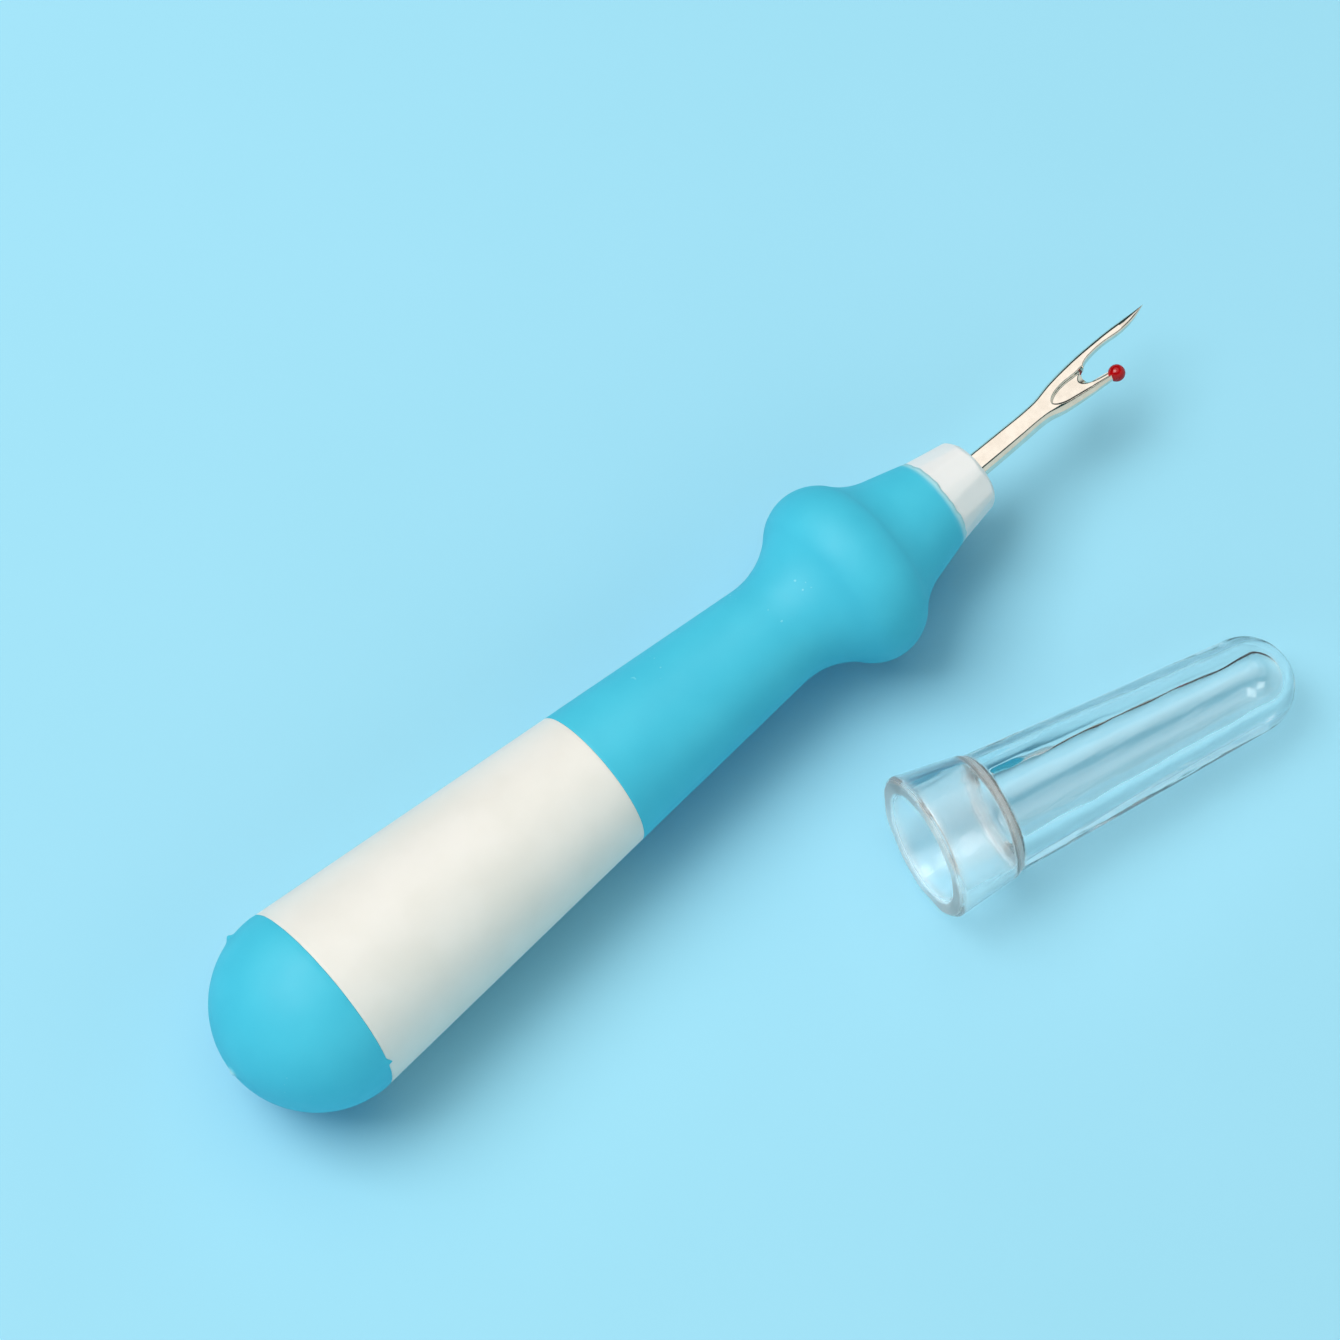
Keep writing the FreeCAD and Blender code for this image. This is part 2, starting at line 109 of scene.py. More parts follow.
# %% Outlines with rounded corners
def arc(centre, radius, start, end, count):
    """Points on a circle about centre, from one angle in degrees to another."""
    angle = np.radians(np.linspace(start, end, count))
    return np.stack([centre[0] + radius * np.cos(angle), centre[1] + radius * np.sin(angle)], 1)


def eased(corners, radii, count=7):
    """An open outline whose corners are arcs tangent to both sides.

    A corner between unit directions a and b that turns by t loses r * tan(t / 2) of each side;
    its arc's points are found by turning the first normal about the arc's centre.
    """
    corners = np.asarray(corners, float)
    parts = [corners[:1]]
    for before, corner, after, radius in zip(corners, corners[1:], corners[2:], radii):
        into = (corner - before) / np.linalg.norm(corner - before)
        away = (after - corner) / np.linalg.norm(after - corner)
        side = into[0] * away[1] - into[1] * away[0]
        turn = math.atan2(side, float(into @ away))
        if radius == 0 or abs(turn) < 1e-6:
            parts.append(corner[None])
            continue
        normal = np.array([-into[1], into[0]]) * math.copysign(1.0, turn)
        centre = corner - into * radius * math.tan(abs(turn) / 2) + normal * radius
        steps = np.linspace(0.0, turn, count)
        spin_x = -normal[0] * np.cos(steps) + normal[1] * np.sin(steps)
        spin_y = -normal[0] * np.sin(steps) - normal[1] * np.cos(steps)
        parts.append(centre + radius * np.stack([spin_x, spin_y], 1))
    parts.append(corners[-1:])
    return np.concatenate(parts)


def spaced(outline, longest):
    """The same outline with extra points, so that no step is longer than the one given."""
    gaps = np.linalg.norm(np.diff(outline, axis=0), axis=1)
    outline = outline[np.concatenate([[True], gaps > 1e-6])]
    gaps = np.linalg.norm(np.diff(outline, axis=0), axis=1)
    pieces = np.maximum(1, np.ceil(gaps / longest)).astype(int)
    share = np.concatenate([np.arange(n) / n + i for i, n in enumerate(pieces)] + [[len(gaps)]])
    places = np.arange(len(outline))
    return np.stack([np.interp(share, places, outline[:, k]) for k in (0, 1)], 1)


# %% Meshes from grids of points
def grid_faces(rows, columns, first=0):
    """Four-cornered faces that join neighbours in a grid of points numbered row by row."""
    corner = first + np.arange((rows - 1) * columns).reshape(rows - 1, columns)[:, :-1].ravel()
    return np.stack([corner, corner + 1, corner + columns + 1, corner + columns], 1)


def make_piece(name, points, faces, start, axes):
    """A closed smooth mesh from millimetre points given along a start and three axes.

    Doubled points at seams and poles are merged and the faces are turned outwards.
    """
    placed = start + (points * MM) @ axes
    mesh = bpy.data.meshes.new(name)
    mesh.vertices.add(len(placed))
    mesh.vertices.foreach_set("co", placed.ravel())
    mesh.loops.add(faces.size)
    mesh.loops.foreach_set("vertex_index", faces.ravel())
    mesh.polygons.add(len(faces))
    mesh.polygons.foreach_set("loop_start", np.arange(0, faces.size, 4))
    mesh.update(calc_edges=True)
    shell = bmesh.new()
    shell.from_mesh(mesh)
    bmesh.ops.remove_doubles(shell, verts=shell.verts, dist=2e-7)
    bmesh.ops.recalc_face_normals(shell, faces=shell.faces)
    open_edges = sum(1 for edge in shell.edges if not edge.is_manifold)
    shell.to_mesh(mesh)
    volume = shell.calc_volume(signed=True) / MM**3
    shell.free()
    mesh.shade_smooth()
    piece = bpy.data.objects.new(name, mesh)
    bpy.context.scene.collection.objects.link(piece)
    print(f"{name}: {len(mesh.polygons)} faces, {volume:.1f} mm3, {open_edges} open edges")
    return piece


def turned(name, outline, start, axes, around=256, shape=None):
    """A lathe surface: each outline point (along, radius) carried round the axis.

    Point = (x, r cos t, r sin t), where t starts on the left side and rises to the top.  shape
    may change x and r by place and angle.  A closed outline repeats its first point at its end.
    """
    angle = np.linspace(0.0, 2 * math.pi, around + 1)
    along, turn = np.meshgrid(outline[:, 0], angle, indexing="ij")
    radius = np.repeat(outline[:, 1:], around + 1, axis=1)
    if shape:
        along, radius = shape(along, radius, turn)
    points = np.stack([along, radius * np.cos(turn), radius * np.sin(turn)], -1)
    points[:, -1] = points[:, 0]
    return make_piece(name, points.reshape(-1, 3), grid_faces(len(outline), around + 1), start, axes)


def local(piece, start, axes):
    """A piece's points in millimetres along its own start and axes."""
    flat = np.empty(len(piece.data.vertices) * 3)
    piece.data.vertices.foreach_get("co", flat)
    return (flat.reshape(-1, 3) - start) @ axes.T / MM


def paint(piece, name, values):
    """Stores one number per point, which a material reads by its name."""
    layer = piece.data.attributes.new(name, "FLOAT", "POINT")
    layer.data.foreach_set("value", np.asarray(values, np.float32))


def hump(distance, width):
    """A smooth bump of height one: e to the minus square of distance over width."""
    return np.exp(-((distance / width) ** 2))


def smooth_step(value, low, high):
    """Rises from 0 at low to 1 at high with no kink at either end."""
    share = np.clip((value - low) / (high - low), 0.0, 1.0)
    return share * share * (3 - 2 * share)


# %% [markdown]
# ## The rear dome
#
# The dome is a true half ball of soft rubber, moulded over the end of the core, where a groove
# keeps it from pulling off.  A ball primitive would have no socket and no moulding marks.  The
# outline has both, and small humps add what such a moulding keeps: the trimmed gate at the
# pole, a crumb of flash on its parting line, and a ragged bit where it meets the core.

# %% Rear dome
DOME_JOIN = 12.8
JOIN_RADIUS = 11.92
SPIGOT_RADIUS = 7.5
SPIGOT_END = 4.6
GROOVE_RADIUS = 6.6
GROOVE_BACK = 7.2
GROOVE_FRONT = 9.2
GATE_HEIGHT = 0.35
CRUMB_AT = 9.1
CRUMB_TURN = math.radians(14)
CRUMB_HEIGHT = 0.45
TEAR_TURN = math.radians(163)
TEAR_HEIGHT = 0.3
RIPPLE_HEIGHT = 0.02


def dome_marks(along, radius, turn):
    """Adds the gate stub at the pole, a crumb of flash, and a tear and a fine ripple on the rim.

    Each mark is its height times a hump of the distance along the axis and one of the distance
    round it, r * (t - t0).  The socket's own surface is left alone.
    """
    outside = (along < DOME_JOIN - 0.01) & (np.hypot(along - DOME_RADIUS, radius) > DOME_RADIUS - 1)
    gate = GATE_HEIGHT * hump(radius, 0.55)
    crumb = CRUMB_HEIGHT * hump(along - CRUMB_AT, 0.4) * hump(radius * (turn - CRUMB_TURN), 0.5)
    rim = hump(along - DOME_JOIN, 0.35)
    tear = TEAR_HEIGHT * rim * hump(radius * (turn - TEAR_TURN), 0.4)
    waves = np.sin(11 * turn) + np.sin(17 * turn + 1) + np.sin(29 * turn + 2)
    ripple = RIPPLE_HEIGHT * rim * waves
    return along + outside * (1.5 * tear - gate), radius + outside * (crumb + tear + ripple)


spigot = [(DOME_JOIN, JOIN_RADIUS), (DOME_JOIN, SPIGOT_RADIUS), (GROOVE_FRONT, SPIGOT_RADIUS),
          (GROOVE_FRONT, GROOVE_RADIUS), (GROOVE_BACK, GROOVE_RADIUS), (GROOVE_BACK, SPIGOT_RADIUS),
          (SPIGOT_END, SPIGOT_RADIUS), (SPIGOT_END, 0.0)]
dome_outline = np.concatenate([
    arc((DOME_RADIUS, 0.0), DOME_RADIUS, 180.0, 90.0, 90),
    eased([(DOME_RADIUS + 0.1, DOME_RADIUS), *spigot], [0.12] + [0.0] * 6)])
rear_dome = turned("rear_dome_rubber", spaced(dome_outline, 0.35), handle_start, handle_axes,
                   shape=dome_marks)

# %% [markdown]
# ## The handle core
#
# One hard white moulding runs from the dome to the nose.  Only its middle band shows, a plain
# straight taper whose two edges are just broken.  The rest is the spigot, the humped stem and
# the bore for the blade holder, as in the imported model.

# %% Handle core
BAND_END = 52.5
BAND_END_RADIUS = 8.74
CORE_END = 103.6
CORE_END_RADIUS = 4.9
BORE_START = 84.0
BORE_RADIUS = 3.2
STEM = [(BAND_END, 7.1), (78.0, 5.1), (85.5, 5.1), (88.5, 8.0), (93.0, 8.0), (97.0, 5.1),
        (CORE_END, CORE_END_RADIUS)]

core_corners = [*spigot[::-1], (BAND_END, BAND_END_RADIUS), *STEM, (CORE_END, BORE_RADIUS),
                (BORE_START, BORE_RADIUS), (BORE_START, 0.0)]
core_radii = [0.0] * 6 + [0.1, 0.08] + [0.0] * 9
core = turned("handle_core_white", spaced(eased(core_corners, core_radii), 0.4), handle_start,
              handle_axes)

# %% [markdown]
# ## The front grip
#
# The long sleeve tapers to a neck, swells to a bulb that stops the fingers, and dips again
# before the nose.  On the real tool these are arcs that run into each other with no edge, so
# the outline is built as line, hollow arc, bulb arc, hollow arc, line, each touching the next.
# At its front the rubber feathers out over the nose to a lip so thin that it looks pale.

# %% Front grip
BULB_RADIUS = 11.27
BULB_CURVE = 5.7
NECK_CURVE = 10.0
SADDLE_CURVE = 9.0
HANDLE_TAPER = math.radians(4.57)
GRIP_TAPER = math.radians(14.7)
GRIP_END = 104.45
GRIP_END_RADIUS = 5.62


def touching_centre(point, tilt, radius, other, reach, side):
    """The centre of an arc that touches a falling line from above and another circle.

    It stands radius off the line and reach from the other centre, found with Pythagoras
    along the line's own direction.
    """
    line = np.array([math.cos(tilt), -math.sin(tilt)])
    off = np.array([math.sin(tilt), math.cos(tilt)])
    gap = other - (point + off * radius)
    foot = gap @ line + side * math.sqrt(reach**2 - (gap @ off) ** 2)
    return point + off * radius + line * foot


def heading(centre, point):
    """The direction from a centre to a point, in degrees."""
    return math.degrees(math.atan2(point[1] - centre[1], point[0] - centre[0]))


bulb = np.array([BULB_AT, BULB_RADIUS - BULB_CURVE])
grip_start = np.array([BAND_END, BAND_END_RADIUS])
grip_end = np.array([GRIP_END, GRIP_END_RADIUS])
neck = touching_centre(grip_start, HANDLE_TAPER, NECK_CURVE, bulb, NECK_CURVE + BULB_CURVE, -1)
saddle = touching_centre(grip_end, GRIP_TAPER, SADDLE_CURVE, bulb, SADDLE_CURVE + BULB_CURVE, 1)
grip_outer = np.concatenate([
    grip_start[None],
    arc(neck, NECK_CURVE, -90 - math.degrees(HANDLE_TAPER), heading(neck, bulb), 60),
    arc(bulb, BULB_CURVE, heading(bulb, neck), heading(bulb, saddle), 60),
    arc(saddle, SADDLE_CURVE, heading(saddle, bulb) - 360 * (heading(saddle, bulb) > 0),
        -90 - math.degrees(GRIP_TAPER), 50),
    grip_end[None]])
print("neck arc centre", np.round(neck, 2), "saddle arc centre", np.round(saddle, 2))


def grip_marks(along, radius, turn):
    """A hand-trimmed front lip: its edge wanders by a few hundredths of a millimetre."""
    front = smooth_step(along, GRIP_END - 1.5, GRIP_END)
    wander = np.sin(5 * turn + 1) + 0.6 * np.sin(13 * turn) + 0.4 * np.sin(23 * turn + 2)
    return along + 0.07 * front * wander, radius


grip_inner = np.array([(GRIP_END, 5.5)] + STEM[::-1])
grip_back = eased([grip_inner[-1], grip_start, grip_outer[1]], [0.12])
grip_loop = np.concatenate([grip_back, grip_outer[1:], grip_inner])
front_grip = turned("front_grip_rubber", spaced(grip_loop, 0.45), handle_start, handle_axes,
                    shape=grip_marks)

# %% [markdown]
# ## The blade holder
#
# The nose is a short cone with eight soft flats, moulded in the same hard plastic.  Cutting
# the flats with a boolean leaves sharp, badly shaded edges.  Here the radius itself is a soft
# minimum of the cone and the flats, so the corners round off as moulded ones do.

# %% Blade holder
NOSE_BASE = 104.3
NOSE_FRONT = 110.4
NOSE_FRONT_RADIUS = 3.95
FACETS = 8
FLATS_AT = 105.2
FLATS_STAND = 5.3
FLATS_TAPER = 1.18 / 6.2
FLATS_BLEND = 0.03


def flats(along, radius, turn):
    """Lowers the radius to the flats where they bite.

    A flat that stands d from the axis has radius d / cos(t) at angle t from its middle.  The
    soft minimum is -k log(e^(-a/k) + e^(-b/k)), with k the width of the blend.
    """
    stand = FLATS_STAND - (along - FLATS_AT) * FLATS_TAPER
    sector = 2 * math.pi / FACETS
    off_middle = (turn + sector / 2) % sector - sector / 2
    flat = stand / np.cos(off_middle)
    outside = (along > NOSE_BASE - 0.05) & (radius > NOSE_FRONT_RADIUS - 0.05)
    soft = -FLATS_BLEND * np.log(np.exp(-radius / FLATS_BLEND) + np.exp(-flat / FLATS_BLEND))
    return along, np.where(outside, soft, radius)


holder_corners = [(BORE_START, 0.0), (BORE_START, BORE_RADIUS), (CORE_END, BORE_RADIUS),
                  (CORE_END, CORE_END_RADIUS), (NOSE_BASE, 5.6), (109.8, 4.62),
                  (NOSE_FRONT, NOSE_FRONT_RADIUS), (NOSE_FRONT, 0.0)]
holder_radii = [0.0, 0.0, 0.0, 0.0, 0.5, 0.3]
holder = turned("blade_holder_nose", spaced(eased(holder_corners, holder_radii), 0.15),
                handle_start, handle_axes, shape=flats)

# %% [markdown]
# ## The blade
#
# The blade is one flattened wire of steel, split to a fork.  A drop-shaped hollow is pressed in
# both faces behind the slot, and the slot's bottom is ground down to the edge that cuts.  A flat
# extrusion can't show that, so each half of the blade is a height field: a sheet from its inner
# edge to its outer one.  Its height is the rounded strip less the hollow, or the ground bevel
# where that is lower.

# %% Blade outline
TANG_START = 100.0
FORK_START = 121.8
CROTCH = 128.2
SLOT_MIDDLE = 0.13
SLOT_RADIUS = 0.82
PRONG_MOUTH = CROTCH + SLOT_RADIUS
SHORT_PRONG_END = 131.4
BLADE_END = 140.1


def through(points, at):
    """A smooth curve y(x) through points, by cubic pieces with slopes averaged at each point.

    Each piece mixes its end heights and slopes with the four Hermite weights.
    """
    x, y = np.array(points, float).T
    slope = np.gradient(y, x)
    i = np.clip(np.searchsorted(x, at) - 1, 0, len(x) - 2)
    width = x[i + 1] - x[i]
    t = (at - x[i]) / width
    start = y[i] * (1 + 2 * t) * (1 - t) ** 2 + slope[i] * width * t * (1 - t) ** 2
    return start + y[i + 1] * t * t * (3 - 2 * t) + slope[i + 1] * width * t * t * (t - 1)


LONG_OUTER = [(100.0, 1.56), (110.4, 1.7), (116.0, 1.7), (120.0, 1.72), (121.6, 1.82), (124.4, 2.38),
              (127.6, 2.76), (133.3, 2.97), (140.1, 2.68)]
LONG_INNER = [(129.02, 0.95), (129.3, 1.22), (129.8, 1.45), (131.1, 1.72), (132.9, 1.83),
              (136.0, 1.68), (138.0, 1.96), (140.1, 2.64)]
SHORT_OUTER = [(100.0, -1.56), (110.4, -1.44), (118.0, -1.27), (120.5, -1.18), (121.8, -1.24),
               (123.8, -1.68), (125.0, -1.82), (131.4, -2.25)]
SHORT_INNER = [(129.02, -0.69), (129.8, -0.83), (131.4, -1.06)]

SHANK_ROWS = 60
FORK_ROWS = 110
FAN_ROWS = 30
PRONG_STEP = 0.05


def stations(end):
    """Where each row of a half starts and ends along the blade: inner and outer distances.

    Rows run straight across the shank, fan round the arc at the bottom of the slot, and run
    across the prong.  The third array is the angle round that arc.
    """
    shank = np.concatenate([np.linspace(TANG_START, FORK_START - 0.5, SHANK_ROWS)[:-1],
                            np.linspace(FORK_START - 0.5, CROTCH, FORK_ROWS)[:-1]])
    fan = np.linspace(0.0, math.pi / 2, FAN_ROWS)
    prong = np.linspace(PRONG_MOUTH, end, int((end - PRONG_MOUTH) / PRONG_STEP))[1:]
    inner = np.concatenate([shank, CROTCH + SLOT_RADIUS * (1 - np.cos(fan)), prong])
    swing = np.concatenate([np.zeros(len(shank)), fan, np.full(len(prong), math.pi / 2)])
    changes = [len(shank), len(shank) + FAN_ROWS - 1, len(inner) - 1]
    beyond = np.interp(np.arange(len(inner)), changes, [CROTCH, PRONG_MOUTH, end])
    return inner, np.where(inner < CROTCH, inner, beyond), swing


# %% Blade height
STRIP_HALF = 1.0
SCOOP_START = 123.0
SCOOP_DEPTH = 0.26
SCOOP_DEEPER = 0.03
SCOOP_WALL = 0.27
RIM_LEFT = (1.24, 3.4)
RIM_RIGHT = (0.85, 2.2)
RIM_FLARE = 0.12
EDGE_HALF = 0.05


def strip_half(along):
    """Half the strip's thickness: full on the shank, thinner on the prongs, thin at the point."""
    return np.interp(along, [123.4, 133.0, 136.0, BLADE_END], [STRIP_HALF, 0.55, 0.5, 0.1])


def quarter(share, power=2.0):
    """A quarter ellipse's height over the share of its width: (1 - (1 - share)^p)^(1 / p).

    A power of 2 is the true ellipse and a lower one is flatter, nearer to a chamfer.
    """
    return np.clip(1 - (1 - np.clip(share, 0.0, 1.0)) ** power, 0.0, 1.0) ** (1 / power)


def rim_side(far, width, length):
    """How far out one side of the hollow's rim stands, and its slope along the blade.

    The side is width * q, with q the quarter ellipse of far / length.  Its slope is
    width * (1 - far / length) / (length * q).
    """
    rise = quarter(far / length)
    slope = width * (1 - np.clip(far / length, 0, 1)) / (length * np.maximum(rise, 0.05))
    return width * rise, slope


def scoop(along, across):
    """How deep the pressed hollow is: zero outside its drop-shaped rim, with a steep short wall.

    The distance inside the rim is the gap across the blade times the cosine of the rim's slope.
    """
    far = along - SCOOP_START
    left, left_slope = rim_side(far, *RIM_LEFT)
    right, right_slope = rim_side(far, *RIM_RIGHT)
    inside = np.minimum((left - across) / np.hypot(1, left_slope),
                        (right + RIM_FLARE * far + across) / np.hypot(1, right_slope))
    wall = smooth_step(np.where(far > 0, inside, -1.0), 0.0, SCOOP_WALL)
    return (SCOOP_DEPTH + SCOOP_DEEPER * far) * wall


def ground_edge(along, across):
    """The height of the ground bevel: it rises from the cutting edge round the slot's end.

    Height = edge + slope * gap, where gap is the distance from the slot's rim.  The slope is
    0.5 at the slot's bottom and grows towards the prongs, where the bevel runs out.
    """
    past = np.maximum(along - PRONG_MOUTH, 0.0)
    reach = np.hypot(along - PRONG_MOUTH - past, across - SLOT_MIDDLE)
    gap = np.maximum(reach - SLOT_RADIUS, 0.0)
    lean = np.abs(across - SLOT_MIDDLE) / (gap + SLOT_RADIUS)
    slope = 0.5 + 1.2 * lean**2 + 1.5 * past
    return EDGE_HALF + slope * gap + 0.8 * past


def soft_min(a, b, blend):
    """The lower of two heights with the crease between them rounded off."""
    return (a + b - np.sqrt((a - b) ** 2 + blend**2)) / 2


# %% Blade mesh
ACROSS = 48
LEFT_SIDE = (0.6, 2.0)
RIGHT_SIDE = (1.0, 1.6)
SIDE_SHARE = 0.55
SLOT_BULGE = 0.34
SLOT_SHARE = 0.45
MOUTH_EASE = 0.6
CREASE = 0.03
THINNEST = 0.012


def half_blade(outer_points, inner_points, sign, end):
    """The upper sheet, lower sheet and side walls of one half, as grids of points.

    The outer side is the rounded side of a flattened wire, a quarter ellipse.  The slot's side
    has a tighter one, which comes in along the prong as the ground bevel runs out.
    """
    inner_x, outer_x, swing = stations(end)
    arc_y = SLOT_MIDDLE + sign * SLOT_RADIUS * np.sin(swing)
    inner_y = np.where(inner_x > PRONG_MOUTH, through(inner_points, inner_x), arc_y)
    outer_y = through(outer_points, outer_x)
    # Points of a row crowd towards both edges, where the rounding is.
    share = (1 - np.cos(np.linspace(0.0, math.pi, ACROSS))) / 2
    x = inner_x[:, None] + (outer_x - inner_x)[:, None] * share
    y = inner_y[:, None] + (outer_y - inner_y)[:, None] * share
    width = np.abs(outer_y - inner_y)[:, None] + 1e-6
    bulge, power = LEFT_SIDE if sign > 0 else RIGHT_SIDE
    outside = quarter(np.abs(outer_y[:, None] - y) / np.minimum(bulge, SIDE_SHARE * width), power)
    inside = quarter(np.abs(y - inner_y[:, None]) / np.minimum(SLOT_BULGE, SLOT_SHARE * width))
    prong = smooth_step(inner_x, CROTCH + 0.3, PRONG_MOUTH + MOUTH_EASE)[:, None]
    height = strip_half(x) * outside * (1 - prong + prong * inside) - scoop(x, y)
    height = np.maximum(soft_min(height, ground_edge(x, y), CREASE), THINNEST)
    upper = np.stack([x, y, height], -1)
    level, rise = (1, 1, 0), (0, 0, 1)
    steps = np.linspace(1.0, -1.0, 3)[:, None, None]
    slot = inner_x >= CROTCH - 1e-9
    rims = [upper[:, -1], upper[slot, 0], upper[0], upper[-1]]
    return [upper, upper * (1, 1, -1)] + [rim * level + steps * rim * rise for rim in rims]


grids = (half_blade(LONG_OUTER, LONG_INNER, 1, BLADE_END)
         + half_blade(SHORT_OUTER, SHORT_INNER, -1, SHORT_PRONG_END))
first, blade_faces = 0, []
for grid in grids:
    blade_faces.append(grid_faces(grid.shape[0], grid.shape[1], first))
    first += grid.shape[0] * grid.shape[1]
blade_points = np.concatenate([grid.reshape(-1, 3) for grid in grids])
blade = make_piece("blade_steel", blade_points, np.concatenate(blade_faces), handle_start, handle_axes)

# %% [markdown]
# ## The ball
#
# The red ball keeps the short prong from piercing the cloth.  It is a drop of plastic moulded
# on the prong's end, so it isn't quite round: it draws out a little where the prong enters.

# %% Ball tip
BALL_AT = 131.73
BALL_OUT = 1.78
BALL_RADIUS = 1.02
ball_outline = arc((0.0, 0.0), BALL_RADIUS, 180.0, 0.0, 60)
ball_outline[:, 0] -= 0.10 * hump(ball_outline[:, 1], 0.55) * (ball_outline[:, 0] < 0)
ball_start = handle_start + np.array([BALL_AT, -BALL_OUT, 0.0]) @ handle_axes * MM
ball = turned("ball_tip_red", ball_outline, ball_start, handle_axes, around=96)

# %% [markdown]
# ## The clear cap
#
# The cap is a thick clear moulding: a wide flared collar, a step, then a heavy tube with a
# narrow blind bore and a round end.  Clear plastic shows its inside, so wall and bore have to
# be real: one closed outline runs up the outside and back down the inside.

# %% Clear cap
COLLAR_END = 8.4
TUBE_START = 9.15
TUBE_END = 43.1
TUBE_END_RADIUS = 5.75
SOCKET_RADIUS = 6.45
MOUTH_MIDDLE = 7.4
BORE_BACK = 9.6
BORE_TIP = 44.2
BORE_TIP_RADIUS = 2.85

cap_outer = eased([(0.0, MOUTH_MIDDLE), (0.0, 8.2), (0.55, 8.75), (COLLAR_END, 7.65),
                   (TUBE_START, 7.3), (TUBE_END, TUBE_END_RADIUS)], [0.35, 0.4, 0.7, 0.7])
cap_bore = eased([(BORE_TIP, BORE_TIP_RADIUS), (BORE_BACK, 4.0), (COLLAR_END, SOCKET_RADIUS),
                  (0.4, SOCKET_RADIUS), (0.0, 6.85), (0.0, MOUTH_MIDDLE)], [1.0, 0.9, 0.25, 0.25])
cap_outline = np.concatenate([
    arc((BORE_TIP, 0.0), BORE_TIP_RADIUS, 0.0, 90.0, 30), cap_bore, cap_outer,
    arc((TUBE_END, 0.0), TUBE_END_RADIUS, 86.0, 0.0, 50)])


def cap_waves(along, radius, turn):
    """Sink and flow waves a few hundredths of a millimetre deep, strongest at the mouth.

    Each wave is a sum of sines of whole multiples of the angle, so that it closes on itself.
    The two poles stay on the axis.
    """
    wave = 0.05 * hump(along, 1.2) * (np.sin(7 * turn) + 0.7 * np.sin(11 * turn + 2))
    slow = 0.02 * np.sin(3 * turn + 0.15 * along)
    live = radius > 0.5
    return along - 0.6 * live * wave, radius + live * (0.6 * wave + slow)


cap = turned("clear_cap_shell", spaced(cap_outline, 0.38), cap_start, cap_axes, around=240,
             shape=cap_waves)

# %% [markdown]
# ## Colours and nodes
#
# Colours are written as the sRGB hex values a designer would pick, and one function turns them
# into the linear numbers that light is computed with.  One more adds a node with its settings
# and links.  Every material is a chain of such calls.  Map Range takes its value, the range it
# comes from and the range it goes to as inputs 0 to 4.  Mix takes its share as input 0 and its
# two colours as inputs 6 and 7, and gives its colour as output 2.

# %% Helpers for materials
def colour(hexadecimal):
    """sRGB hex to linear red, green, blue and a full alpha, by the sRGB curve."""
    value = np.array([int(hexadecimal[i:i + 2], 16) for i in (0, 2, 4)]) / 255
    linear = np.where(value <= 0.04045, value / 12.92, ((value + 0.055) / 1.055) ** 2.4)
    return (*linear, 1.0)


def add(tree, kind, inputs=None, output=0, **settings):
    """Adds a node, sets its properties, sets or links its inputs, and returns one output."""
    node = tree.nodes.new(kind)
    for name, value in settings.items():
        setattr(node, name, value)
    for key, value in (inputs or {}).items():
        if isinstance(value, bpy.types.NodeSocket):
            tree.links.new(value, node.inputs[key])
        else:
            node.inputs[key].default_value = value
    return node.outputs[output] if node.outputs else node


def new_material(name):
    """A material with an empty node tree, that tree, and the piece's own place in metres."""
    material = bpy.data.materials.new(name)
    material.use_nodes = True
    tree = material.node_tree
    tree.nodes.clear()
    return material, tree, add(tree, "ShaderNodeTexCoord", output="Object")


def per_metre(millimetres):
    """The scale of a noise whose features are about this far apart."""
    return 1000.0 / millimetres


# %% [markdown]
# ## Soft rubber
#
# The grips are a soft thermoplastic rubber, moulded in a finely etched mould.  It is matte,
# its highlight is wide and weak, and light sinks in a little at thin places.  Handling leaves
# specks of dust on it, in patches.  The etched grain is about 0.05 mm on the real thing, too
# fine to show, so it is drawn at 0.16 mm.

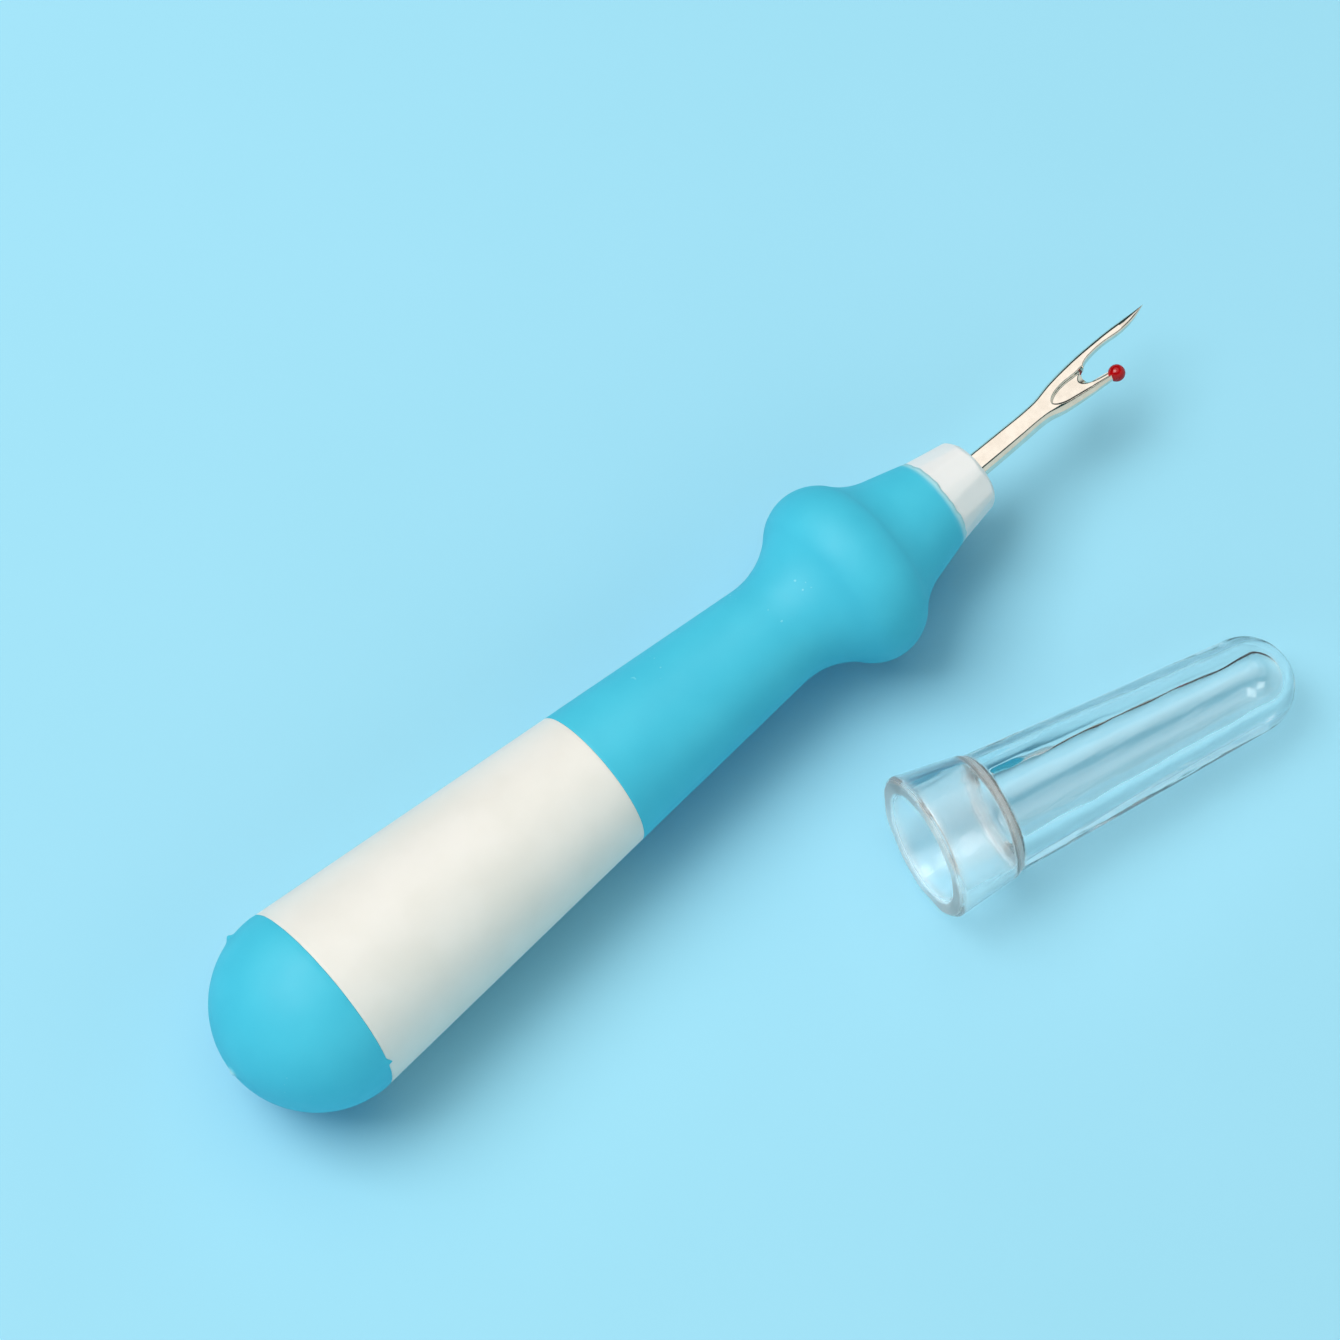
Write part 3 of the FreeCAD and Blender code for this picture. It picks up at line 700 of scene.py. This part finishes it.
# %% Thermoplastic rubber
def make_rubber():
    material, tree, place = new_material("soft_touch_rubber")
    cloud = add(tree, "ShaderNodeTexNoise", {"Vector": place, "Scale": per_metre(9.0), "Detail": 3.0})
    cloud = add(tree, "ShaderNodeMapRange", {0: cloud, 1: 0.35, 2: 0.65})
    base = add(tree, "ShaderNodeMix", {0: cloud, 6: colour("49C0DA"), 7: colour("4EC5DE")}, 2,
               data_type="RGBA")
    patch = add(tree, "ShaderNodeTexNoise", {"Vector": place, "Scale": per_metre(14.0), "Detail": 1.0})
    patch = add(tree, "ShaderNodeMapRange", {0: patch, 1: 0.55, 2: 0.62})
    speck = add(tree, "ShaderNodeTexNoise", {"Vector": place, "Scale": per_metre(0.5), "Detail": 0.0})
    speck = add(tree, "ShaderNodeMapRange", {0: speck, 1: 0.80, 2: 0.84, 4: 0.4})
    speck = add(tree, "ShaderNodeMath", {0: patch, 1: speck}, operation="MULTIPLY")
    base = add(tree, "ShaderNodeMix", {0: speck, 6: base, 7: colour("A9E4F0")}, 2, data_type="RGBA")
    # The lip over the nose is so thin that the white beneath shows through it.
    thin = add(tree, "ShaderNodeAttribute", output="Fac", attribute_name="thin")
    base = add(tree, "ShaderNodeMix", {0: thin, 6: base, 7: colour("C3E6EC")}, 2, data_type="RGBA")
    grain = add(tree, "ShaderNodeTexNoise", {"Vector": place, "Scale": per_metre(0.16)})
    hills = add(tree, "ShaderNodeTexNoise", {"Vector": place, "Scale": per_metre(2.2)})
    normal = add(tree, "ShaderNodeBump", {"Height": hills, "Distance": 0.03 * MM, "Strength": 0.5})
    normal = add(tree, "ShaderNodeBump",
                 {"Height": grain, "Distance": 0.012 * MM, "Strength": 0.35, "Normal": normal})
    gloss = add(tree, "ShaderNodeTexNoise", {"Vector": place, "Scale": per_metre(3.0), "Detail": 3.0})
    gloss = add(tree, "ShaderNodeMapRange", {0: gloss, 1: 0.3, 2: 0.7, 3: 0.54, 4: 0.64})
    shader = add(tree, "ShaderNodeBsdfPrincipled", {
        "Base Color": base, "Roughness": gloss, "IOR": 1.55, "Normal": normal,
        "Subsurface Weight": 0.08, "Subsurface Radius": (0.3, 1.0, 1.0),
        "Subsurface Scale": 0.8 * MM})
    add(tree, "ShaderNodeOutputMaterial", {"Surface": shader})
    return material


rubber = make_rubber()

# %% [markdown]
# ## White polypropylene
#
# The core is a warm white polypropylene.  It is a little translucent, and its mould was
# blasted, so it has a fine even grain and only a broad sheen.  The holder is a cooler white
# from a smoother mould.  A blasted grain is about 0.05 mm, and is drawn at 0.14 mm to show.

# %% White polypropylene
def make_polypropylene(name, warm, cool, roughness, grain_depth):
    material, tree, place = new_material(name)
    cloud = add(tree, "ShaderNodeTexNoise", {"Vector": place, "Scale": per_metre(7.0), "Detail": 3.0})
    cloud = add(tree, "ShaderNodeMapRange", {0: cloud, 1: 0.35, 2: 0.65})
    base = add(tree, "ShaderNodeMix", {0: cloud, 6: colour(warm), 7: colour(cool)}, 2, data_type="RGBA")
    grain = add(tree, "ShaderNodeTexNoise", {"Vector": place, "Scale": per_metre(0.14)})
    hills = add(tree, "ShaderNodeTexNoise", {"Vector": place, "Scale": per_metre(2.5), "Detail": 1.0})
    normal = add(tree, "ShaderNodeBump", {"Height": hills, "Distance": 0.02 * MM, "Strength": 0.4})
    normal = add(tree, "ShaderNodeBump",
                 {"Height": grain, "Distance": grain_depth * MM, "Strength": 0.3, "Normal": normal})
    gloss = add(tree, "ShaderNodeTexNoise", {"Vector": place, "Scale": per_metre(2.0)})
    gloss = add(tree, "ShaderNodeMapRange",
                {0: gloss, 1: 0.3, 2: 0.7, 3: roughness - 0.04, 4: roughness + 0.05})
    shader = add(tree, "ShaderNodeBsdfPrincipled", {
        "Base Color": base, "Roughness": gloss, "IOR": 1.49, "Normal": normal,
        "Subsurface Weight": 0.15, "Subsurface Radius": (1.0, 0.9, 0.8),
        "Subsurface Scale": 1.2 * MM})
    add(tree, "ShaderNodeOutputMaterial", {"Surface": shader})
    return material


white = make_polypropylene("white_polypropylene_blasted", "E5E2DC", "E9E6E1", 0.45, 0.010)
nose_white = make_polypropylene("white_polypropylene_satin", "E5E6E6", "EAEAEA", 0.32, 0.005)

# %% [markdown]
# ## Plated steel
#
# The blade is pressed steel with a thin warm nickel plating.  Drawing and grinding leave fine
# lines along it, which stretch its highlights across.  Such lines are a few hundredths of a
# millimetre apart, and are drawn 0.12 mm apart to show.

# %% Nickel-plated steel
def make_steel():
    material, tree, place = new_material("nickel_plated_steel")
    drawn = add(tree, "ShaderNodeMapping", {"Vector": place, "Scale": (0.06, 1.0, 1.0)})
    lines = add(tree, "ShaderNodeTexNoise", {"Vector": drawn, "Scale": per_metre(0.12), "Detail": 3.0})
    cloud = add(tree, "ShaderNodeTexNoise", {"Vector": place, "Scale": per_metre(1.4)})
    cloud = add(tree, "ShaderNodeMapRange", {0: cloud, 1: 0.35, 2: 0.65})
    base = add(tree, "ShaderNodeMix", {0: cloud, 6: colour("E6DDD2"), 7: colour("EDE5DB")}, 2,
               data_type="RGBA")
    gloss = add(tree, "ShaderNodeMapRange", {0: lines, 1: 0.3, 2: 0.7, 3: 0.10, 4: 0.16})
    normal = add(tree, "ShaderNodeBump", {"Height": lines, "Distance": 0.002 * MM, "Strength": 0.2})
    shader = add(tree, "ShaderNodeBsdfPrincipled",
                 {"Base Color": base, "Metallic": 1.0, "Roughness": gloss, "Normal": normal})
    add(tree, "ShaderNodeOutputMaterial", {"Surface": shader})
    return material


steel = make_steel()

# %% [markdown]
# ## Glossy red plastic
#
# The ball is cast in a deep red plastic with a wet gloss, a little uneven as a drop sets.

# %% Red plastic
def make_red():
    material, tree, place = new_material("glossy_red_plastic")
    cloud = add(tree, "ShaderNodeTexNoise", {"Vector": place, "Scale": per_metre(0.8)})
    cloud = add(tree, "ShaderNodeMapRange", {0: cloud, 1: 0.35, 2: 0.65})
    base = add(tree, "ShaderNodeMix", {0: cloud, 6: colour("A8040D"), 7: colour("B80812")}, 2,
               data_type="RGBA")
    hills = add(tree, "ShaderNodeTexNoise", {"Vector": place, "Scale": per_metre(0.5)})
    normal = add(tree, "ShaderNodeBump", {"Height": hills, "Distance": 0.01 * MM, "Strength": 0.3})
    shader = add(tree, "ShaderNodeBsdfPrincipled",
                 {"Base Color": base, "Roughness": 0.12, "IOR": 1.53, "Normal": normal})
    add(tree, "ShaderNodeOutputMaterial", {"Surface": shader})
    return material


red = make_red()

# %% [markdown]
# ## Clear polystyrene
#
# The cap is crystal polystyrene, which bends light strongly and so shows bright and dark
# lines at every wall.  Plastic that flowed along the mould left long streaks in it.  It is
# slightly cloudy at the collar, and more so at the mouth and at the step.

# %% Crystal polystyrene
cap_yaw = -math.atan2(cap_axes[0][1], cap_axes[0][0])
print("cap is turned by", round(math.degrees(cap_yaw), 2), "deg on the table")


def make_clear():
    material, tree, place = new_material("crystal_polystyrene")
    cloudy = add(tree, "ShaderNodeAttribute", output="Fac", attribute_name="cloudy")
    scuffs = add(tree, "ShaderNodeTexNoise", {"Vector": place, "Scale": per_metre(0.25)})
    scuffs = add(tree, "ShaderNodeMapRange", {0: scuffs, 1: 0.45, 2: 0.75, 4: 0.06})
    haze = add(tree, "ShaderNodeMath", {0: scuffs, 1: cloudy}, operation="MAXIMUM")
    clearness = add(tree, "ShaderNodeMapRange", {0: cloudy, 1: 0.05, 2: 0.5, 3: 1.0, 4: 0.45})
    waves = add(tree, "ShaderNodeTexNoise", {"Vector": place, "Scale": per_metre(3.0), "Detail": 1.0})
    normal = add(tree, "ShaderNodeBump", {"Height": waves, "Distance": 0.04 * MM, "Strength": 0.5})
    drawn = add(tree, "ShaderNodeMapping",
                {"Vector": place, "Rotation": (0.0, 0.0, cap_yaw), "Scale": (0.04, 1.0, 1.0)})
    streaks = add(tree, "ShaderNodeTexNoise", {"Vector": drawn, "Scale": per_metre(1.6), "Detail": 1.0})
    normal = add(tree, "ShaderNodeBump",
                 {"Height": streaks, "Distance": 0.12 * MM, "Strength": 0.5, "Normal": normal})
    # Light reaches the table through the plastic, so its shadow is only a pale one.
    shadow = add(tree, "ShaderNodeLightPath", output="Is Shadow Ray")
    solid = add(tree, "ShaderNodeMapRange", {0: shadow, 3: 1.0, 4: 0.36})
    shader = add(tree, "ShaderNodeBsdfPrincipled", {
        "Base Color": colour("FFFFFF"), "Transmission Weight": clearness, "IOR": 1.59,
        "Roughness": haze, "Normal": normal, "Alpha": solid})
    add(tree, "ShaderNodeOutputMaterial", {"Surface": shader})
    return material


clear = make_clear()

# %% [markdown]
# ## Joining the pieces to the frame
#
# Each piece stands for one imported node, which is hidden, takes its material and rides on
# that node's body, so that the cap moves and the handle stays.

# %% Stand for, ride and finish
for piece, node, body, slot, material in (
        (rear_dome, "rear_dome", "handle", "grip_rubber", rubber),
        (core, "handle_core", "handle", "white_polypropylene", white),
        (front_grip, "front_grip", "handle", "grip_rubber", rubber),
        (holder, "blade_holder", "handle", "holder_polypropylene", nose_white),
        (blade, "seam_blade", "handle", "plated_steel", steel),
        (ball, "ball_tip", "handle", "red_plastic", red),
        (cap, "clear_cap", "cap", "clear_polystyrene", clear)):
    piece.data.materials.append(material)
    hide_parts(node)
    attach(piece, body)

# %% [markdown]
# ## Painted numbers
#
# Two materials change with the place on the piece: the rubber where it is thin, and the clear
# plastic where it is cloudy.  Each place is a fact of the shape, so it is stored on the mesh as
# one number per point, which the material reads by name.

# %% Thin rubber and cloudy plastic
LIP_WIDTH = 0.95
LIP_PALENESS = 0.9
COLLAR_CLOUD = 0.09
MOUTH_CLOUD = 0.2
STEP_CLOUD = 0.3
STEP_AT = 8.8

grip_points = local(front_grip, handle_start, handle_axes)
on_outside = smooth_step(np.hypot(grip_points[:, 1], grip_points[:, 2]), 5.4, 5.6)
on_lip = smooth_step(grip_points[:, 0], GRIP_END - LIP_WIDTH, GRIP_END - 0.1)
paint(front_grip, "thin", LIP_PALENESS * on_lip * on_outside)

dome_points = local(rear_dome, handle_start, handle_axes)
from_pole = np.hypot(dome_points[:, 1], dome_points[:, 2])
paint(rear_dome, "thin", hump(from_pole, 0.5) * (dome_points[:, 0] < 1))

cap_along = local(cap, cap_start, cap_axes)[:, 0]
collar = COLLAR_CLOUD * (1 - smooth_step(cap_along, 8.0, 9.4))
mouth_and_step = MOUTH_CLOUD * hump(cap_along, 0.8) + STEP_CLOUD * hump(cap_along - STEP_AT, 0.6)
paint(cap, "cloudy", collar + mouth_and_step)
print("cloudiest point of the cap:", round(float((collar + mouth_and_step).max()), 2))

# %% [markdown]
# ## Floor
#
# The tool lies on a pale blue card, large enough to fill every view.

# %% Floor
FLOOR_RADIUS = 2.0
FLOOR_SIDES = 96
floor_turn = np.linspace(0.0, 2 * math.pi, FLOOR_SIDES + 1)[:-1]
rim = np.stack([FLOOR_RADIUS * np.cos(floor_turn), FLOOR_RADIUS * np.sin(floor_turn),
                np.zeros(FLOOR_SIDES)], 1)
floor_mesh = bpy.data.meshes.new("pale_blue_card")
floor_mesh.from_pydata(rim.tolist(), [], [list(range(FLOOR_SIDES))])
floor = bpy.data.objects.new("pale_blue_card", floor_mesh)
bpy.context.scene.collection.objects.link(floor)


def make_card():
    material, tree, place = new_material("pale_blue_paper")
    cloud = add(tree, "ShaderNodeTexNoise", {"Vector": place, "Scale": per_metre(60.0)})
    cloud = add(tree, "ShaderNodeMapRange", {0: cloud, 1: 0.3, 2: 0.7})
    base = add(tree, "ShaderNodeMix", {0: cloud, 6: colour("9FD7EB"), 7: colour("A1D8ED")}, 2,
               data_type="RGBA")
    grain = add(tree, "ShaderNodeTexNoise", {"Vector": place, "Scale": per_metre(0.5)})
    normal = add(tree, "ShaderNodeBump", {"Height": grain, "Distance": 0.01 * MM, "Strength": 0.2})
    shader = add(tree, "ShaderNodeBsdfPrincipled", {
        "Base Color": base, "Roughness": 0.8, "Normal": normal, "Specular IOR Level": 0.2})
    add(tree, "ShaderNodeOutputMaterial", {"Surface": shader})
    return material


floor_mesh.materials.append(make_card())

# %% [markdown]
# ## Room and lamp
#
# Clear plastic and steel show little but what stands around them, so the room has three tones.
# A bright ceiling panel makes the blade's flat face shine.  A narrow dark gap round it draws the
# dark line along each rounded edge.  Beyond the gap the wall is light on the right, which gives
# the blade's right side its pale band, and dark on the left.  One large soft lamp at the upper
# left casts the shadows.

# %% Room and lamp
PANEL_DIRECTION = (0.0, 0.301, 0.954)
world = bpy.data.worlds.new("bright_room")
bpy.context.scene.world = world
world.use_nodes = True
room = world.node_tree
room.nodes.clear()
direction = add(room, "ShaderNodeTexCoord", output="Generated")
towards = add(room, "ShaderNodeVectorMath", {0: direction, 1: PANEL_DIRECTION}, "Value",
              operation="DOT_PRODUCT")
panel = add(room, "ShaderNodeMapRange", {0: towards, 1: 0.78, 2: 0.84})
wall = add(room, "ShaderNodeMapRange", {0: towards, 1: 0.56, 2: 0.46})
leftward = add(room, "ShaderNodeSeparateXYZ", {0: direction}, 1)
leftward = add(room, "ShaderNodeMapRange", {0: leftward, 1: 0.1, 2: 0.5})
tone = add(room, "ShaderNodeMix", {0: leftward, 6: colour("CAD6D4"), 7: colour("4A4646")}, 2,
           data_type="RGBA")
tone = add(room, "ShaderNodeMix", {0: wall, 6: colour("27474C"), 7: tone}, 2, data_type="RGBA")
tone = add(room, "ShaderNodeMix", {0: panel, 6: tone, 7: colour("FFFDF9")}, 2, data_type="RGBA")
background = add(room, "ShaderNodeBackground", {"Color": tone, "Strength": 1.0})
add(room, "ShaderNodeOutputWorld", {"Surface": background})

LAMP_DIRECTION = np.array([-0.31, 0.36, 0.88])
LAMP_DISTANCE = 1.6
lamp_data = bpy.data.lights.new("soft_lamp", "AREA")
lamp_data.shape = "SQUARE"
lamp_data.size = 1.0
lamp_data.energy = 14.2
lamp_data.color = (1.0, 0.97, 0.945)
lamp = bpy.data.objects.new("soft_lamp", lamp_data)
bpy.context.scene.collection.objects.link(lamp)
lamp_unit = LAMP_DIRECTION / np.linalg.norm(LAMP_DIRECTION)
lamp.location = lamp_unit * LAMP_DISTANCE
lamp.rotation_euler = (math.acos(lamp_unit[2]), 0.0, math.atan2(lamp_unit[0], -lamp_unit[1]))
print("lamp at", np.round(lamp_unit * LAMP_DISTANCE, 3))

# %% [markdown]
# ## Camera and contrast
#
# A long lens looks down steeply, so that round sections stay nearly round.  A plain view with a
# firmer contrast gives deep shadows and keeps the card's pale tone.

# %% Camera and contrast
AZIMUTH = math.radians(-41.5)
ELEVATION = math.radians(67.0)
CAMERA_DISTANCE = 0.6454
AIM = dome_centre * (1, 1, 0) + (0.05912, 0.00798, 0.0)
camera_data = bpy.data.cameras.new("camera")
camera_data.lens = 150.0
camera_data.sensor_width = 36.0
camera = bpy.data.objects.new("camera", camera_data)
bpy.context.scene.collection.objects.link(camera)
back = np.array([math.sin(AZIMUTH) * math.cos(ELEVATION), -math.cos(AZIMUTH) * math.cos(ELEVATION),
                 math.sin(ELEVATION)])
camera.location = AIM + back * CAMERA_DISTANCE
camera.rotation_euler = (math.pi / 2 - ELEVATION, 0.0, AZIMUTH)
bpy.context.scene.camera = camera
bpy.context.scene.view_settings.view_transform = "Standard"
bpy.context.scene.view_settings.look = "Medium High Contrast"
